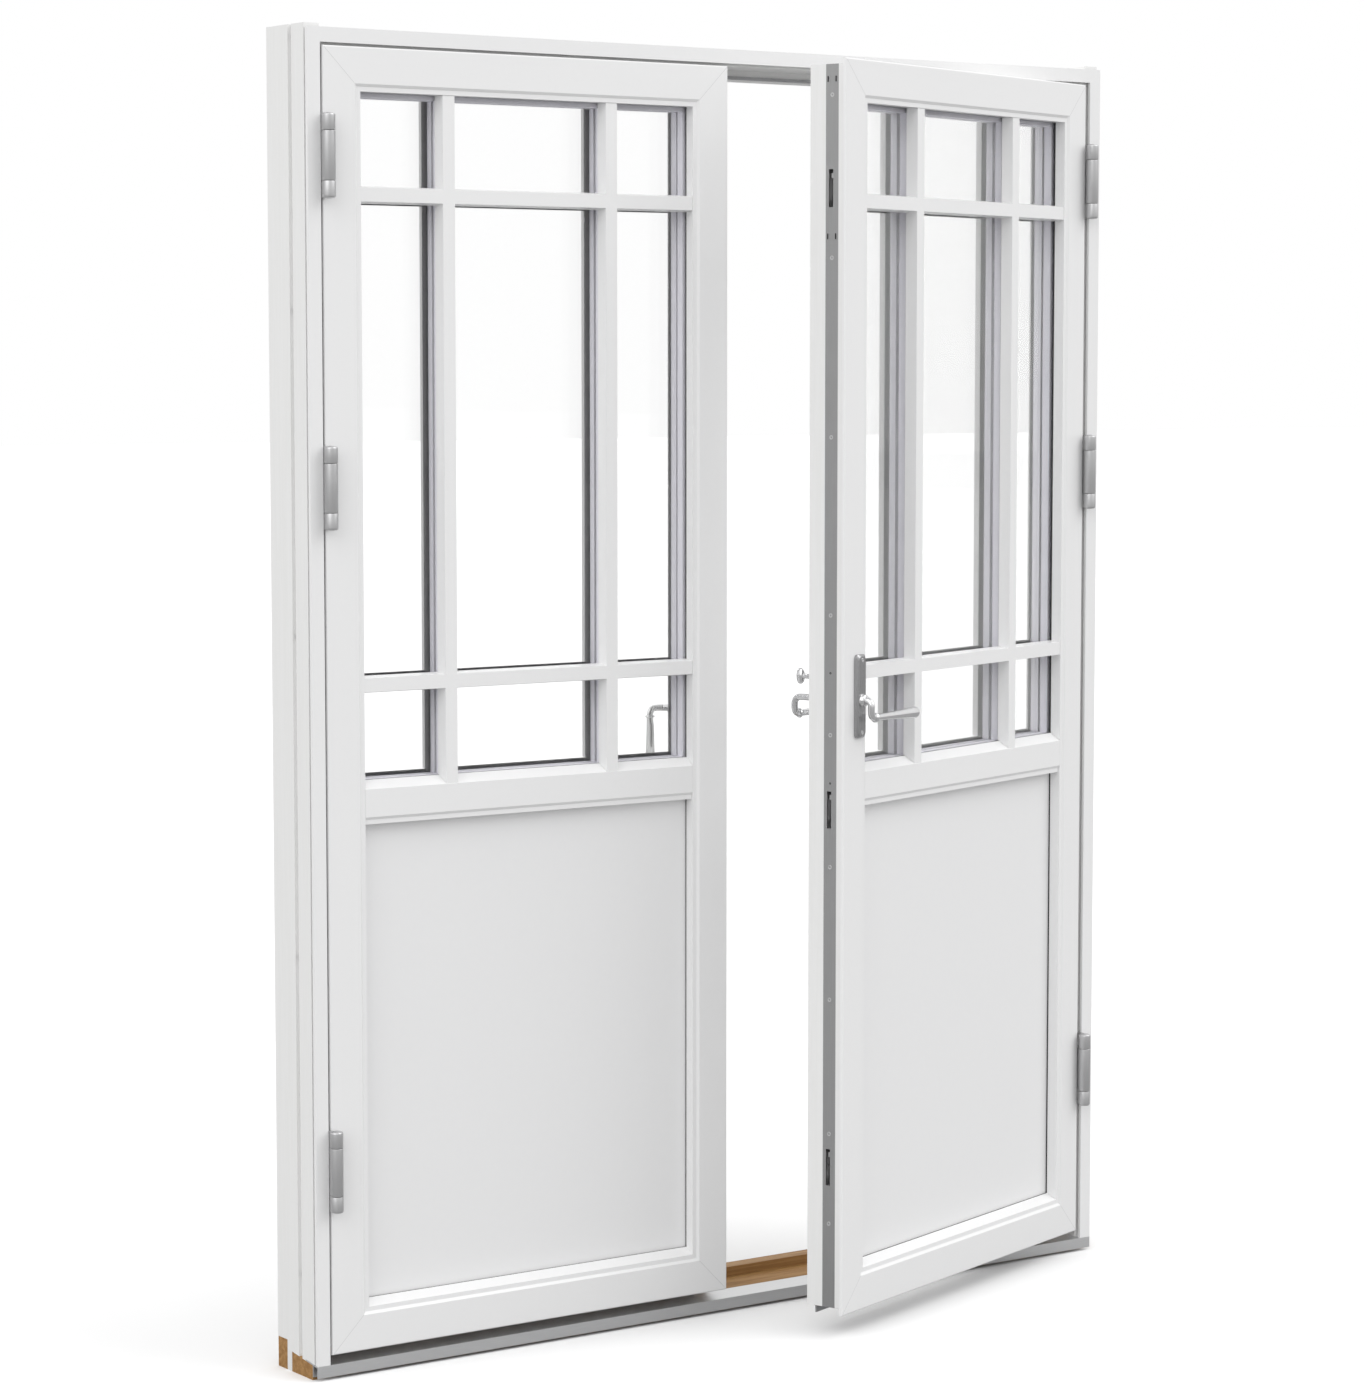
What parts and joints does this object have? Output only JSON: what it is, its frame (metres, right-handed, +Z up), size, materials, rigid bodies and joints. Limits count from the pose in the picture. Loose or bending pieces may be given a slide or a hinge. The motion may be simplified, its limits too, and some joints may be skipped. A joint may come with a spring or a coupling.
{
  "type": "french doors",
  "caption": "Outward-opening white french doors in their frame, glazed over flat panels, with an oak threshold; one leaf stands ajar.",
  "frame": {"origin": "under the middle of the threshold, on the front plane of the cladding", "axes": "+X to the right seen from outside, +Y into the room, +Z up"},
  "size_m": [1.58, 0.4078, 2.094],
  "materials": {
    "painted_timber": "white painted pine, satin",
    "panel_face": "white, satin, over an insulating core",
    "coated_aluminium": "white powder coating, satin",
    "oak": "oiled oak, matt",
    "white_plastic": "matt",
    "bare_aluminium": "anodised, satin",
    "grey_rubber": "matt",
    "black_rubber": "matt",
    "bright_steel": "zinc plated",
    "zinc_steel": "zinc plated, dull",
    "hinge_metal": "satin grey plating",
    "handle_metal": "satin chrome",
    "spacer_metal": "satin grey",
    "clear_glass": "clear, polished"
  },
  "bodies": {
    "frame": {"jamb_left": "painted_timber", "jamb_right": "painted_timber", "head": "painted_timber", "threshold_rear": "oak", "threshold_break": "white_plastic", "threshold_front": "oak", "threshold_nose": "bare_aluminium", "cladding_left": "coated_aluminium", "cladding_right": "coated_aluminium", "cladding_head": "coated_aluminium", "frame_seal": "grey_rubber", "corner_screws": "bright_steel", "hinge_frame_arms": "hinge_metal", "hinge_pins": "bright_steel", "bolt_keeps": "bright_steel"},
    "passive_leaf": {"passive_stiles": "painted_timber", "passive_rails": "painted_timber", "passive_cladding": "coated_aluminium", "passive_glass": "clear_glass", "passive_spacers": "spacer_metal", "passive_muntins_outer": "coated_aluminium", "passive_muntins_inner": "painted_timber", "passive_beads": "painted_timber", "passive_panel": "panel_face", "passive_gasket": "black_rubber", "passive_hinge_arms": "hinge_metal", "passive_sweep": "black_rubber", "astragal": "painted_timber", "meeting_seal": "grey_rubber", "strikes": "bright_steel", "passive_gearbox": "bright_steel", "passive_backplate": "handle_metal"},
    "active_leaf": {"active_stiles": "painted_timber", "active_rails": "painted_timber", "active_cladding": "coated_aluminium", "active_glass": "clear_glass", "active_spacers": "spacer_metal", "active_muntins_outer": "coated_aluminium", "active_muntins_inner": "painted_timber", "active_beads": "painted_timber", "active_panel": "panel_face", "active_gasket": "black_rubber", "active_hinge_arms": "hinge_metal", "active_sweep": "black_rubber", "faceplate": "zinc_steel", "lock_cases": "bright_steel", "outer_backplate": "handle_metal", "inner_backplate": "handle_metal"},
    "passive_handle": {"passive_lever": "handle_metal"},
    "upper_bolt": {"upper_bolt": "bright_steel"},
    "lower_bolt": {"lower_bolt": "bright_steel"},
    "active_handle": {"outer_lever": "handle_metal", "inner_lever": "handle_metal", "spindle": "bright_steel"},
    "thumb_turn": {"thumb_turn": "handle_metal"},
    "lock_rod": {"lock_rod": "bright_steel"},
    "hook_upper": {"hook_upper": "bright_steel"},
    "hook_middle": {"hook_middle": "bright_steel"},
    "hook_lower": {"hook_lower": "bright_steel"}
  },
  "joints": [
    {"name": "passive_leaf_swing", "type": "hinge", "parent": "frame", "child": "passive_leaf", "pos_m": [-0.7615, -0.015, 1], "axis": [0, 0, 1], "range_deg": [-100, 0]},
    {"name": "active_leaf_swing", "type": "hinge", "parent": "frame", "child": "active_leaf", "pos_m": [0.7615, -0.015, 1], "axis": [0, 0, 1], "range_deg": [-19.7, 80.3]},
    {"name": "active_lever_turn", "type": "hinge", "parent": "active_leaf", "child": "active_handle", "pos_m": [0.0647, -0.21074, 1.04], "axis": [-0.3371, 0.9415, 0], "range_deg": [0, 90]},
    {"name": "thumb_turn_turn", "type": "hinge", "parent": "active_leaf", "child": "thumb_turn", "pos_m": [0.05209, -0.17553, 1.074], "axis": [-0.3371, 0.9415, 0], "range_deg": [0, 90]},
    {"name": "lock_rod_slide", "type": "slide", "parent": "active_leaf", "child": "lock_rod", "axis": [0, 0, 1], "range_m": [0, 0.018]},
    {"name": "hook_upper_turn", "type": "hinge", "parent": "active_leaf", "child": "hook_upper", "pos_m": [0.0494, -0.21845, 1.841], "axis": [0.3371, -0.9415, 0], "range_deg": [0, 90]},
    {"name": "hook_middle_turn", "type": "hinge", "parent": "active_leaf", "child": "hook_middle", "pos_m": [0.0494, -0.21845, 0.847], "axis": [0.3371, -0.9415, 0], "range_deg": [0, 90]},
    {"name": "hook_lower_turn", "type": "hinge", "parent": "active_leaf", "child": "hook_lower", "pos_m": [0.0494, -0.21845, 0.263], "axis": [0.3371, -0.9415, 0], "range_deg": [0, 90]},
    {"name": "passive_lever_turn", "type": "hinge", "parent": "passive_leaf", "child": "passive_handle", "pos_m": [-0.0501, 0.052, 1.008], "axis": [0, 1, 0], "range_deg": [0, 90]},
    {"name": "upper_bolt_slide", "type": "slide", "parent": "passive_leaf", "child": "upper_bolt", "axis": [0, 0, 1], "range_m": [0, 0.034]},
    {"name": "lower_bolt_slide", "type": "slide", "parent": "passive_leaf", "child": "lower_bolt", "axis": [0, 0, 1], "range_m": [-0.034, 0]}
  ],
  "couplings": [
    {"joint": "lock_rod_slide", "follows": "active_lever_turn", "m_per_rad": 0.011459},
    {"joint": "hook_upper_turn", "follows": "active_lever_turn", "ratio": 1},
    {"joint": "hook_middle_turn", "follows": "active_lever_turn", "ratio": 1},
    {"joint": "hook_lower_turn", "follows": "active_lever_turn", "ratio": 1},
    {"joint": "upper_bolt_slide", "follows": "passive_lever_turn", "m_per_rad": 0.021645},
    {"joint": "lower_bolt_slide", "follows": "passive_lever_turn", "m_per_rad": -0.021645}
  ]
}
